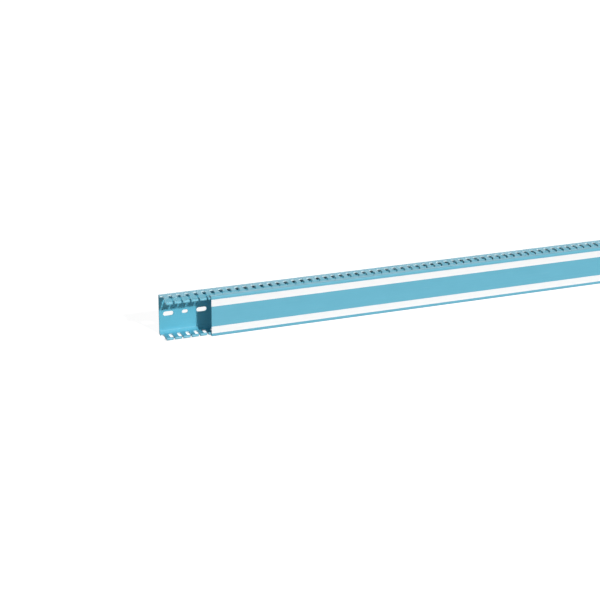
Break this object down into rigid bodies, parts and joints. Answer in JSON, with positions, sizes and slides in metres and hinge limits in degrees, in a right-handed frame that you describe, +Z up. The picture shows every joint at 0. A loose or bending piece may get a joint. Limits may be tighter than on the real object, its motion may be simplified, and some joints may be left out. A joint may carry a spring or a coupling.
{
  "type": "slotted wire duct",
  "caption": "Light blue slotted wiring duct, open finger walls on two sides, clip-on cover with two white bands slid part way along, row of mounting slots in the back.",
  "frame": {"origin": "centre of the mounting face, on the outside of the back wall", "axes": "+X along the duct to its far end, +Y out of the mounting face, away from the cover, +Z up across the duct's width as it lies on one slotted wall"},
  "size_m": [2.0685, 0.035, 0.0616],
  "materials": {
    "duct_pvc": "satin rigid PVC, light blue",
    "cover_pvc": "satin rigid PVC, light blue",
    "band_white": "smooth white PVC band"
  },
  "bodies": {
    "base": {"duct_base": "duct_pvc"},
    "cover": {"cover": "cover_pvc", "cover_band_upper": "band_white", "cover_band_lower": "band_white"}
  },
  "joints": [
    {"name": "cover_slide", "type": "slide", "parent": "base", "child": "cover", "axis": [1, 0, 0], "range_m": [-1.0685, 0.9315]}
  ]
}
